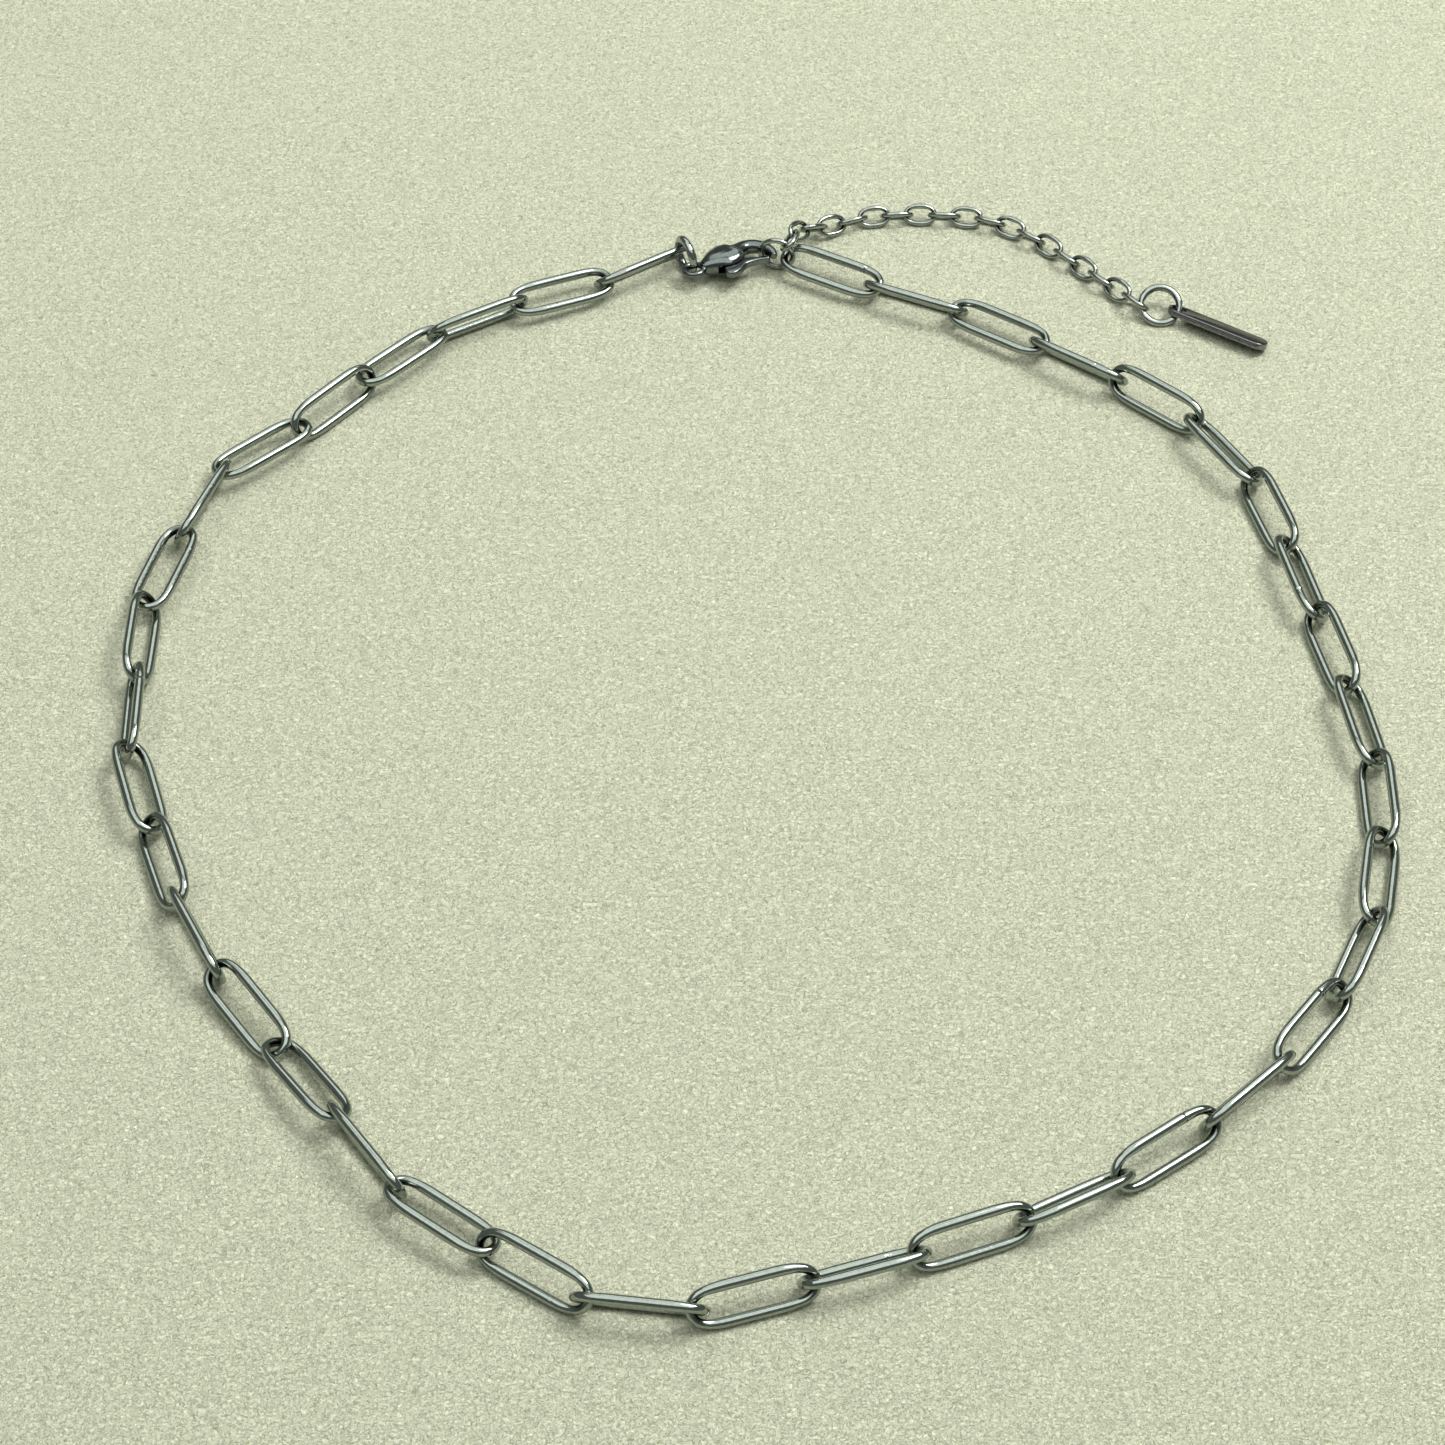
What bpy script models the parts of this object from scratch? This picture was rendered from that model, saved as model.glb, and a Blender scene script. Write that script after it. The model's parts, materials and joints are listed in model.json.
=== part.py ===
"""A chain necklace: long oval links closed by a lobster clasp, with an extender chain and a bar tag.

Run it in Blender 4.5. The model is in metres with +Z up. It lies on the plane z = 0, centred on the
origin, with its clasp at the back (+Y). The constants below are in millimetres and degrees. Every
wire piece is a closed loop that really passes through its neighbours, and each origin is on the
piece's own hinge.
"""

import math

import bmesh
import bpy
from mathutils import Matrix, Vector

MM = 0.001

# The point of the layout below that becomes the model's origin: the middle of its footprint.
BASE_CENTRE = (-0.02, 4.99, 0)

# Long links: an oval of round wire with straight sides and semicircular ends.
LINK_COUNT = 39
LINK_LENGTH = 13.3
LINK_WIDTH = 4.8
LINK_WIRE = 0.95
ROOT_LINK = 20

# Where the chain lies, from the clasp ring round by the left and the front to the end ring.
CHAIN_ROUTE = (
    (-17, 72), (-26, 68), (-36, 62.5), (-44, 54.5), (-50.5, 46.5), (-58.5, 40.5), (-62.5, 30.5), (-66, 20),
    (-66, 10), (-66.5, -1), (-63.5, -12), (-55.5, -32), (-42, -50), (-36.5, -59), (-28, -65.5),
    (-19, -72), (-9.5, -76), (1, -73), (12, -70), (32.5, -61.5), (51, -47.5), (63, -29.5),
    (66.5, -8), (63, 14), (58, 36), (53, 45.5), (44.5, 53.5), (26.5, 66), (16.5, 70.5),
)

# How far each long link is rolled about its own length. No two neighbours lie the same way.
LINK_ROLLS = (
    45, -15, 65, 10, -65, 5, 65, 5, -55, 65, -30, 45, -75,
    30, -20, -75, -15, 55, -60, 55, -45, 55, -45, 50, -65, 45,
    -50, 35, -45, 35, -50, 40, -50, 35, -65, 50, -10, 45, -15,
)

# Extender: small oval links. Each of the last pieces holds two of them, fused where they touch.
EXTENDER_LINKS = 19
EXTENDER_PIECES = 13
EXTENDER_LENGTH = 4.1
EXTENDER_WIDTH = 2.8
EXTENDER_WIRE = 0.55
EXTENDER_ROLL = -45
EXTENDER_DROP = ((5.9, 79.6, 3.4), (8, 81.6, 2))
EXTENDER_ROUTE = ((10.4, 83.2), (14.5, 84.8), (20.5, 85.4), (28.5, 84.6), (34.5, 81.4), (40.5, 75.5))
FUSED_DEPTH = 0.2
FUSED_TURN = 7

# Round rings: the one in the clasp's eye, the one in its hook, and the one that holds the tag.
CLASP_RING = dict(radius=2.1, wire=0.8)
END_RING = dict(radius=2.05, wire=0.65)
TAG_RING = dict(radius=2.3, wire=0.65)
CLASP_RING_HEADING = 117
END_RING_HEADING = -12
END_RING_TOP_ANGLE = 50
END_RING_HEIGHT = 2.15
TAG_RING_CENTRE = (49.2, 68.4)
TAG_RING_TILT = 28

# Lobster clasp. Its own X runs from the eye to the hook, and its hook bends round its +Y side.
CLASP_EYE = (-6.5, 73.9, 1.95)
CLASP_HEADING = 20
CLASP_LEAN = -8
CLASP_THICKNESS = 2.6
CLASP_EDGE = 0.35
EYE_RADIUS = 1.16
EYE_WIRE = 0.72
BODY_OUTLINE = (
    (0.9, -0.8), (2.2, -1.35), (3.6, -1.75), (5.0, -1.75), (5.75, -1.1), (6.0, 0.1),
    (6.0, 2.1), (5.0, 2.35), (3.6, 2.15), (2.2, 1.55), (0.9, 0.8),
)
HOOK_ROUTE = (
    (5.2, 1.6), (6.3, 1.9), (7.5, 1.9), (8.7, 1.45), (9.6, 0.6), (9.95, -0.4), (9.8, -1.2),
)
HOOK_WIRE = 1.2
RING_IN_HOOK = (8.5, 0.05)

# Gate lever: its arm closes the hook, and its thumb tab stands out of the body's near side.
LEVER_PIVOT = (4.7, -0.65)
LEVER_THICKNESS = 0.9
LEVER_SLOT = dict(low=(2.7, -4.0), high=(6.6, 0.6), thickness=1.15)
LEVER_OUTLINE = (
    (9.05, -1.7), (9.05, -1.05), (7.5, -0.85), (6.0, -0.4), (5.4, -0.05), (4.7, 0.15),
    (4.0, -0.1), (3.7, -0.8), (3.3, -1.9), (3.35, -2.7), (4.1, -3.1), (5.2, -2.6),
    (6.2, -1.75), (7.6, -1.55),
)
PIN_RADIUS = 0.28
PIN_LENGTH = 2.4
PIN_FIT = 0.03
SPRING = dict(start=2.82, end=3.5, across=-0.35, radius=0.3, wire=0.14, turns=3)

# Bar tag: a flat bar with rounded ends and a hole for its ring.
TAG_LENGTH = 13.0
TAG_WIDTH = 2.6
TAG_THICKNESS = 0.8
TAG_HEADING = -32
TAG_LEAN = -24
TAG_HOLE_RADIUS = 0.9
TAG_HOLE_ON_RING = -20
TAG_EDGE = 0.15

CURVE_STEPS = 16

POLISHED = dict(colour=(0.62, 0.63, 0.63), roughness=0.16)
BRIGHT = dict(colour=(0.70, 0.71, 0.71), roughness=0.20)
DARK = dict(colour=(0.30, 0.30, 0.31), roughness=0.28)


def clear_scene():
    for old in list(bpy.data.objects):
        bpy.data.objects.remove(old, do_unlink=True)


def metal(name, colour, roughness):
    material = bpy.data.materials.new(name)
    material.use_nodes = True
    shader = material.node_tree.nodes["Principled BSDF"]
    shader.inputs["Base Color"].default_value = (*colour, 1)
    shader.inputs["Metallic"].default_value = 1
    shader.inputs["Roughness"].default_value = roughness
    return material


def add_object(name, shape, place, look, smooth=True):
    """Turns a bmesh in millimetres into an object whose origin is at its place."""
    bmesh.ops.recalc_face_normals(shape, faces=shape.faces)
    bmesh.ops.scale(shape, vec=(MM, MM, MM), verts=shape.verts)
    for face in shape.faces:
        face.smooth = smooth
    data = bpy.data.meshes.new(name)
    shape.to_mesh(data)
    shape.free()
    data.materials.append(metal(name, **look))
    made = bpy.data.objects.new(name, data)
    bpy.context.scene.collection.objects.link(made)
    metres = place.copy()
    metres.translation = (place.translation - Vector(BASE_CENTRE)) * MM
    made.matrix_world = metres
    return made


def curve_through(points):
    """Closely spaced points on a smooth curve that passes through every given point."""
    ends = [points[0] * 2 - points[1], *points, points[-1] * 2 - points[-2]]
    fine = []
    for before, start, end, after in zip(ends, ends[1:], ends[2:], ends[3:]):
        for step in range(CURVE_STEPS):
            t = step / CURVE_STEPS
            bend = (2 * before - 5 * start + 4 * end - after) * t * t
            turn = (3 * start - before - 3 * end + after) * t * t * t
            fine.append((2 * start + (end - before) * t + bend + turn) / 2)
    return [*fine, points[-1]]


def walk(curve, pitch, count):
    """Steps along a curve in straight chords of one pitch. Returns the stations and what is left."""
    stations = [curve[0]]
    ahead = 1
    while len(stations) <= count:
        while ahead < len(curve) and (curve[ahead] - stations[-1]).length < pitch:
            ahead += 1
        if ahead == len(curve):
            return stations, -1
        inside, outside = curve[ahead - 1], curve[ahead]
        near = (inside - stations[-1]).length
        far = (outside - stations[-1]).length
        stations.append(inside.lerp(outside, (pitch - near) / (far - near)))
    return stations, (curve[-1] - stations[-1]).length


def even_stations(route, count):
    """count + 1 evenly spaced stations that reach exactly from one end of a route to the other."""
    curve = curve_through(route)
    low, high = 0, sum((b - a).length for a, b in zip(curve, curve[1:])) / count
    for _ in range(40):
        pitch = (low + high) / 2
        left = walk(curve, pitch, count)[1]
        low, high = (pitch, high) if left >= 0 else (low, pitch)
    stations = walk(curve, low, count)[0]
    return [*stations[:-1], curve[-1]]


def tube(path, wire, sides, closed):
    """Round wire along a path, as a bmesh. An open path gets flat caps."""
    shape = bmesh.new()
    count = len(path)
    rings = []
    across = None
    for index, point in enumerate(path):
        ahead = path[(index + 1) % count] if closed or index + 1 < count else point
        behind = path[index - 1] if closed or index else point
        run = (ahead - behind).normalized()
        if across is None:
            across = run.orthogonal().normalized()
        across = (across - run * across.dot(run)).normalized()
        other = run.cross(across)
        ring = []
        for side in range(sides):
            angle = 2 * math.pi * side / sides
            spoke = across * math.cos(angle) + other * math.sin(angle)
            ring.append(shape.verts.new(point + spoke * wire / 2))
        rings.append(ring)
    for index in range(count if closed else count - 1):
        first, second = rings[index], rings[(index + 1) % count]
        for side in range(sides):
            after = (side + 1) % sides
            shape.faces.new((first[side], first[after], second[after], second[side]))
    if not closed:
        shape.faces.new(rings[0])
        shape.faces.new(rings[-1])
    return shape


def oval_path(length, width, wire, arc_steps):
    """The centre line of an oval link that lies in its own XY plane, with its length on X."""
    bend = (width - wire) / 2
    reach = (length - wire) / 2 - bend
    path = []
    for end in (1, -1):
        for step in range(arc_steps + 1):
            angle = -math.pi / 2 + math.pi * step / arc_steps
            path.append(Vector((end * (reach + bend * math.cos(angle)), end * bend * math.sin(angle), 0)))
    return path


def ring_path(radius, steps):
    angles = [2 * math.pi * step / steps for step in range(steps)]
    return [Vector((radius * math.cos(angle), radius * math.sin(angle), 0)) for angle in angles]


def frame_between(start, end, roll):
    """A frame at start whose X points to end, rolled about X."""
    run = (end - start).normalized()
    across = Vector((0, 0, 1)).cross(run).normalized()
    turned = Matrix((run, across, run.cross(across))).transposed().to_4x4()
    return Matrix.Translation(start) @ turned @ Matrix.Rotation(math.radians(roll), 4, "X")


def oval_link(name, start, end, roll, size, hinge_at_end=False):
    """An oval link that reaches over both stations, with its origin at the station of its hinge."""
    length, width, wire, arc_steps, sides, look = size
    shape = tube(oval_path(length, width, wire, arc_steps), wire, sides, True)
    shift = (end - start).length / 2
    if hinge_at_end:
        shift -= (end - start).length
    bmesh.ops.translate(shape, vec=(shift, 0, 0), verts=shape.verts)
    place = frame_between(start, end, roll)
    if hinge_at_end:
        place.translation = end
    return add_object(name, shape, place, look)


def upright_ring(name, centre, heading, hinge, ring, look):
    """A ring that stands on edge along a heading, with its origin at its hinge."""
    run = Matrix.Rotation(math.radians(heading), 4, "Z")
    stand = Matrix.Rotation(math.radians(90), 4, "X")
    shape = tube(ring_path(ring["radius"], 16), ring["wire"], 8, True)
    bmesh.ops.transform(shape, matrix=run @ stand, verts=shape.verts)
    bmesh.ops.translate(shape, vec=centre - hinge, verts=shape.verts)
    return add_object(name, shape, Matrix.Translation(hinge), look)


def plate(outline, thickness):
    """A flat plate in its own XY plane, as a bmesh, centred on that plane."""
    shape = bmesh.new()
    face = shape.faces.new([shape.verts.new((x, y, -thickness / 2)) for x, y in outline])
    raised = bmesh.ops.extrude_face_region(shape, geom=[face])["geom"]
    corners = [item for item in raised if isinstance(item, bmesh.types.BMVert)]
    bmesh.ops.translate(shape, vec=(0, 0, thickness), verts=corners)
    return shape


def round_bar(centre, radius, length, sides=12):
    shape = bmesh.new()
    bmesh.ops.create_cone(
        shape, cap_ends=True, segments=sides, radius1=radius, radius2=radius, depth=length,
        matrix=Matrix.Translation((*centre, 0)),
    )
    return shape


def soften(made, width, segments=1):
    bevel = made.modifiers.new("Soft edges", "BEVEL")
    bevel.width = width * MM
    bevel.segments = segments
    bevel.limit_method = "ANGLE"
    bevel.angle_limit = math.radians(50)


def combine(made, other, operation):
    """Joins a helper to an object, or cuts it away. The helper itself stays out of the model."""
    change = made.modifiers.new(f"{operation.title()} {other.name}", "BOOLEAN")
    change.operation = operation
    change.object = other
    other.hide_render = True
    other.display_type = "WIRE"


def contact(wire_centre, other_end, wire):
    """The station where a link that comes from its other end bears on a wire: the wire's far side."""
    return wire_centre + (wire_centre - other_end).normalized() * wire / 2


def flat(point):
    return Vector((point.x, point.y, 0))


def link_stations(clasp_ring_side, end_ring_side):
    """The hinge points of the long chain, each as high as the higher of its two links needs."""
    bend = (LINK_WIDTH - LINK_WIRE) / 2
    heights = [bend * abs(math.sin(math.radians(roll))) + LINK_WIRE / 2 for roll in LINK_ROLLS]
    route = [Vector((*point, 0)) for point in CHAIN_ROUTE]
    start = contact(flat(clasp_ring_side), route[0], CLASP_RING["wire"])
    end = contact(flat(end_ring_side), route[-1], END_RING["wire"])
    stations = even_stations([start, *route, end], LINK_COUNT)
    for index, station in enumerate(stations[1:-1], 1):
        station.z = max(heights[index - 1], heights[index])
    stations[0].z = heights[0]
    stations[-1].z = END_RING_HEIGHT
    return stations


def make_long_links(stations):
    size = (LINK_LENGTH, LINK_WIDTH, LINK_WIRE, 6, 8, POLISHED)
    for number in range(1, LINK_COUNT + 1):
        start, end = stations[number - 1], stations[number]
        roll = LINK_ROLLS[number - 1]
        oval_link(f"link_{number:02d}", start, end, roll, size, hinge_at_end=number < ROOT_LINK)


def extender_stations(start, end):
    """The hinge points of the extender, which drops from the end ring's top to the ground."""
    bend = (EXTENDER_WIDTH - EXTENDER_WIRE) / 2
    rest = bend * abs(math.sin(math.radians(EXTENDER_ROLL))) + EXTENDER_WIRE / 2
    route = [start, *(Vector(point) for point in EXTENDER_DROP)]
    route += [Vector((*point, rest)) for point in EXTENDER_ROUTE]
    stations = even_stations([*route, end], EXTENDER_LINKS)
    for station in stations:
        station.z = max(station.z, rest)
    return stations


def make_extender(stations):
    """Single links first. The last pieces are pairs, so that the chain keeps all of its links."""
    size = (EXTENDER_LENGTH, EXTENDER_WIDTH, EXTENDER_WIRE, 4, 6, BRIGHT)
    singles = 2 * EXTENDER_PIECES - EXTENDER_LINKS
    link = 0
    for piece in range(1, EXTENDER_PIECES + 1):
        roll = EXTENDER_ROLL if link % 2 == 0 else -EXTENDER_ROLL
        start, end = stations[link], stations[link + 1]
        made = oval_link(f"extender_{piece:02d}", start, end, roll, size)
        link += 1
        if piece > singles:
            start, end = stations[link], stations[link + 1]
            pulled = (end - start).normalized() * (FUSED_DEPTH + extender_slack(start, end))
            start, end = start + pulled, end + pulled
            other = oval_link(f"extender_{piece:02d}_second", start, end, FUSED_TURN - roll, size)
            combine(made, other, "UNION")
            link += 1


def extender_slack(start, end):
    return EXTENDER_LENGTH - 2 * EXTENDER_WIRE - (end - start).length


def clasp_place():
    turn = Matrix.Rotation(math.radians(CLASP_HEADING), 4, "Z")
    lean = Matrix.Rotation(math.radians(CLASP_LEAN), 4, "X")
    return Matrix.Translation(CLASP_EYE) @ turn @ lean


def make_clasp(place):
    body = add_object("clasp_body", plate(BODY_OUTLINE, CLASP_THICKNESS), place, DARK)
    soften(body, CLASP_EDGE, 2)
    slot = LEVER_SLOT
    low, high = slot["low"], slot["high"]
    corners = (low, (high[0], low[1]), high, (low[0], high[1]))
    slot_cutter = add_object("slot_cutter", plate(corners, slot["thickness"]), place, DARK)
    pin_cutter = round_bar(LEVER_PIVOT, PIN_RADIUS + PIN_FIT, CLASP_THICKNESS * 2)
    pin_cutter = add_object("pin_cutter", pin_cutter, place, DARK)
    eye = tube(ring_path(EYE_RADIUS, 14), EYE_WIRE, 8, True)
    eye = add_object("eye_helper", eye, place, DARK)
    hook = tube(curve_through([Vector((*point, 0)) for point in HOOK_ROUTE])[::8], HOOK_WIRE, 8, False)
    hook = add_object("hook_helper", hook, place, DARK)
    combine(body, eye, "UNION")
    combine(body, hook, "UNION")
    combine(body, slot_cutter, "DIFFERENCE")
    combine(body, pin_cutter, "DIFFERENCE")


def make_lever(place):
    """The gate lever, its pivot pin and the little spring that shuts it."""
    pivot = Vector((*LEVER_PIVOT, 0))
    outline = [(x - pivot.x, y - pivot.y) for x, y in LEVER_OUTLINE]
    at_pivot = place @ Matrix.Translation(pivot)
    lever = add_object("clasp_lever", plate(outline, LEVER_THICKNESS), at_pivot, DARK)
    soften(lever, 0.15)
    hole = round_bar((0, 0), PIN_RADIUS + 2 * PIN_FIT, LEVER_THICKNESS * 2)
    combine(lever, add_object("lever_hole", hole, at_pivot, DARK), "DIFFERENCE")
    add_object("clasp_pin", round_bar((0, 0), PIN_RADIUS, PIN_LENGTH), at_pivot, BRIGHT)
    coil = []
    steps = 8 * SPRING["turns"]
    for step in range(steps + 1):
        angle = 2 * math.pi * step / 8
        along = SPRING["start"] + (SPRING["end"] - SPRING["start"]) * step / steps
        side = SPRING["across"] + SPRING["radius"] * math.cos(angle)
        coil.append(Vector((along, side, SPRING["radius"] * math.sin(angle))))
    add_object("clasp_spring", tube(coil, SPRING["wire"], 5, False), place, BRIGHT)


def make_tag(ring_centre):
    """The tag ring leans up at the back, and the tag leans the other way, so that they interlock."""
    lean = Matrix.Rotation(math.radians(TAG_RING_TILT), 4, "X")
    on_ring = math.radians(TAG_HOLE_ON_RING)
    radius = TAG_RING["radius"]
    hole = ring_centre + lean @ Vector((radius * math.cos(on_ring), radius * math.sin(on_ring), 0))
    bend = TAG_WIDTH / 2
    run = TAG_LENGTH - TAG_WIDTH
    outline = []
    for end, start_angle in ((run, -90), (0, 90)):
        for step in range(9):
            angle = math.radians(start_angle + 180 * step / 8)
            outline.append((end + bend * math.cos(angle), bend * math.sin(angle)))
    turn = Matrix.Rotation(math.radians(TAG_HEADING), 4, "Z")
    roll = Matrix.Rotation(math.radians(TAG_LEAN), 4, "X")
    place = Matrix.Translation(hole) @ turn @ roll
    tag = add_object("bar_tag", plate(outline, TAG_THICKNESS), place, DARK, smooth=False)
    soften(tag, TAG_EDGE)
    cutter = round_bar((0, 0), TAG_HOLE_RADIUS, TAG_THICKNESS * 3, 16)
    combine(tag, add_object("tag_hole", cutter, place, DARK), "DIFFERENCE")


def main():
    clear_scene()
    clasp = clasp_place()
    eye = Vector((CLASP_EYE[0], CLASP_EYE[1], 0))

    # The clasp ring stands with its near side through the clasp's eye and its far side in link 1.
    ring_run = Matrix.Rotation(math.radians(CLASP_RING_HEADING), 3, "Z") @ Vector((1, 0, 0))
    ring_height = CLASP_RING["radius"] + CLASP_RING["wire"] / 2
    ring_centre = eye + ring_run * CLASP_RING["radius"] + Vector((0, 0, ring_height))
    ring_hinge = eye + ring_run * CLASP_RING["radius"] * 2
    ring_hinge.z = ring_height

    # The end ring stands with one side inside the clasp's hook and the other in the last link.
    in_hook = clasp @ Vector((*RING_IN_HOOK, 0))
    end_run = Matrix.Rotation(math.radians(END_RING_HEADING), 3, "Z") @ Vector((1, 0, 0))
    end_centre = in_hook + end_run * END_RING["radius"]
    end_centre.z = END_RING["radius"] + END_RING["wire"] / 2
    end_side = end_centre + end_run * END_RING["radius"]

    stations = link_stations(ring_hinge, end_side)
    make_long_links(stations)
    upright_ring("clasp_ring", ring_centre, CLASP_RING_HEADING, ring_hinge, CLASP_RING, BRIGHT)
    upright_ring("end_ring", end_centre, END_RING_HEADING, stations[-1], END_RING, BRIGHT)
    make_clasp(clasp)
    make_lever(clasp)

    # The extender hangs on the end ring's top and ends on the inner side of the tag ring.
    top = math.radians(END_RING_TOP_ANGLE)
    climb = end_run * math.cos(top) + Vector((0, 0, math.sin(top)))
    extender_start = end_centre + climb * END_RING["radius"]
    extender_start = contact(extender_start, Vector(EXTENDER_DROP[0]), END_RING["wire"])
    tilt = math.radians(TAG_RING_TILT)
    tag_ring_height = TAG_RING["radius"] * math.sin(tilt) + TAG_RING["wire"] / 2
    tag_ring_centre = Vector((*TAG_RING_CENTRE, tag_ring_height))
    extender_end = tag_ring_centre - Vector((TAG_RING["radius"], 0, 0))
    extender_end = contact(extender_end, Vector((*EXTENDER_ROUTE[-1], 0)), TAG_RING["wire"])
    links = extender_stations(extender_start, extender_end)
    make_extender(links)
    shape = tube(ring_path(TAG_RING["radius"], 16), TAG_RING["wire"], 8, True)
    bmesh.ops.transform(shape, matrix=Matrix.Rotation(tilt, 4, "X"), verts=shape.verts)
    bmesh.ops.translate(shape, vec=tag_ring_centre - links[-1], verts=shape.verts)
    add_object("tag_ring", shape, Matrix.Translation(links[-1]), BRIGHT)
    make_tag(tag_ring_centre)


main()
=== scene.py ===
"""The looks of the chain necklace: round polished wire, a cast lobster clasp and a brushed tag.

Every piece is built in millimetres in its own frame, which is read from its CAD node or joint,
and is then placed in metres in the frame that all pieces share.
"""

import json
import math
import random

import bmesh
import bpy
import numpy as np
from mathutils import Matrix, Vector

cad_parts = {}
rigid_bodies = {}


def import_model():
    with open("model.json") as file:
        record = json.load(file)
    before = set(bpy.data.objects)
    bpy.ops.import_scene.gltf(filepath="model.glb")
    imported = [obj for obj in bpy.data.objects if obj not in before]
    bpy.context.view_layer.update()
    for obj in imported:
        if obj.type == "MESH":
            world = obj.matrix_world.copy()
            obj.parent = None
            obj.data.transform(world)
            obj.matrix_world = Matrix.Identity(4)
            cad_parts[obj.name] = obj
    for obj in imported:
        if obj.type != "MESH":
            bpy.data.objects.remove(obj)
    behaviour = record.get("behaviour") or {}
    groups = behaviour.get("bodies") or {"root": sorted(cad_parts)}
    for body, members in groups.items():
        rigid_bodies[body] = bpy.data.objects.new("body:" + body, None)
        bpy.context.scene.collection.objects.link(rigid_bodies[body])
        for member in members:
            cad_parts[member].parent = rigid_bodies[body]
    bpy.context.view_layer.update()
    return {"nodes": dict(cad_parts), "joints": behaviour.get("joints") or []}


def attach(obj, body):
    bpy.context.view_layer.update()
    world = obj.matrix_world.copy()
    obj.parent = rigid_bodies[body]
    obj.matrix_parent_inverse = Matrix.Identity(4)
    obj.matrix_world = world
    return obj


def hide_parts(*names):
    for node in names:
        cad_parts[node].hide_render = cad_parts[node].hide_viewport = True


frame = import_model()

MM = 0.001
SEED = 11

# The camera's place in millimetres from the frame's origin, its tilt from straight down and its roll
# in degrees, and its lens and sensor in millimetres.
CAMERA_PLACE = (-2.8, -281.0, 300.9)
CAMERA_TILT = 42.7
CAMERA_ROLL = 0.25
CAMERA_LENS = 94.7
CAMERA_SENSOR = 36

# Lights and sky.
PANEL_COLOUR = (0.97, 1.0, 0.97)
LAMP_COLOUR = (1.0, 1.0, 0.96)
SKY_COLOUR = (0.86, 0.94, 0.86, 1)
SKY_STRENGTH = 0.21

# Steel and suede.
STEEL_SPECKLE = 0.35
STEEL_DENTS = 0.25
DENT_DEPTH = 0.00002
NAP_DARK = (0.40, 0.41, 0.285, 1)
NAP_PALE = (0.98, 0.99, 0.77, 1)
NAP_DEPTH = 0.0005
# The wire length, in millimetres, that one unit of UV stands for.
UV_LENGTH = 10

# Steps along a wire and sides round it.
LINK_STEPS = 96
LINK_SIDES = 20
SMALL_STEPS = 44
SMALL_SIDES = 14
RING_STEPS = 64
OVAL_STEPS = 720
CURVE_STEPS = 8
OUTLINE_STEPS = 6

# Rounded edges: steps across the rounding, and the least turn that is rounded, in degrees.
EDGE_SEGMENTS = 4
PIN_EDGE_SEGMENTS = 3
EDGE_LIMIT = 50

LINK_COUNT = 39
EXTENDER_COUNT = 13
# The power of a link's outline: 2 is an ellipse, and higher is straighter and squarer.
LINK_SQUARENESS = 6
SMALL_SQUARENESS = 2.6
# The most that a long link's sides lean, in millimetres, and the part of its reach where that fades out.
LINK_WOBBLE = 0.05
WOBBLE_FADE = (0.5, 0.88)
# Small links lie on their edges, turned by this many degrees to one side and then to the other.
SMALL_ROLL = 45
# In a CAD piece that stands for two small links, the second is moved this far along, in millimetres.
PAIR_SHIFT = 0.14

# How far the wire's surface is drawn out from the CAD's, in millimetres, away from where pieces touch.
LINK_THICKER = 0.08
SMALL_THICKER = 0.06
RING_THICKER = 0.11
# The share of that which is left across the flat of a link where pieces touch, and of a ring all round.
LINK_WORN_HEIGHT = 0.25
RING_HEIGHT = 0.7
# In wire widths from a contact: where the wire starts to thicken, and where it is at its fullest.
LINK_WORN = (1.7, 3.4)
RING_WORN = (0.9, 2)
# How far each end of a link is drawn out past the CAD's, in wire widths.
CONTACT_SLACK = 0.095

# The share of links with a seam, and where it lies along the wire, as a share of its length.
SEAM_SHARE = 0.3
SEAM_PLACES = (0.13, 0.16)
# A seam's dip: distance along in wire widths, and the share of the wire's thickness that is left.
SEAM_DIP = ((-0.15, 1.0), (-0.06, 0.994), (0, 0.982), (0.06, 0.994), (0.15, 1.0))

# The lobster clasp in its own frame, in millimetres: from the eye (origin) along +X to the hook.
# Its spine is (x, y, half width, half height).
EYE_RADIUS = 1.16
EYE_WIRE = 0.74
BODY_SPINE = (
    (0.95, 0.0, 0.62, 0.6), (1.7, 0.1, 1.1, 1.0), (2.8, 0.35, 1.8, 1.3), (3.9, 0.55, 2.25, 1.42),
    (4.8, 0.8, 2.2, 1.42), (5.3, 1.1, 1.9, 1.42), (5.5, 1.25, 1.55, 1.05), (6.3, 1.75, 1.05, 0.9),
    (7.2, 2.1, 0.85, 0.84), (8.3, 1.98, 0.82, 0.8), (9.25, 1.25, 0.76, 0.74), (9.82, 0.2, 0.66, 0.66),
    (9.92, -0.65, 0.52, 0.54), (9.8, -1.15, 0.36, 0.38),
)
BODY_SIDES = 28
BODY_FLATNESS = 2.5
BODY_VOXEL = 0.075
BODY_SHARPEST = 40
SLOT_LOW = (2.7, -4.0)
SLOT_HIGH = (6.6, 0.6)
SLOT_THICKNESS = 1.15
LEVER_PIVOT = (4.7, -0.65)
LEVER_OUTLINE = (
    (9.05, -1.7), (9.08, -1.1), (7.5, -0.85), (6.0, -0.4), (5.4, -0.05), (4.7, 0.15),
    (4.0, -0.1), (3.7, -0.8), (3.3, -1.9), (3.35, -2.7), (4.1, -3.1), (5.2, -2.6),
    (6.2, -1.75), (7.6, -1.6),
)
LEVER_THICKNESS = 0.9
LEVER_EDGE = 0.22
LEVER_SHARPEST = 50
PIN_RADIUS = 0.28
PIN_LENGTH = 2.4
PIN_SIDES = 32
PIN_EDGE = 0.1
SPRING_ALONG = (2.82, 3.5)
SPRING_ACROSS = -0.35
SPRING_RADIUS = 0.3
SPRING_WIRE = 0.14
SPRING_TURNS = 3
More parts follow.
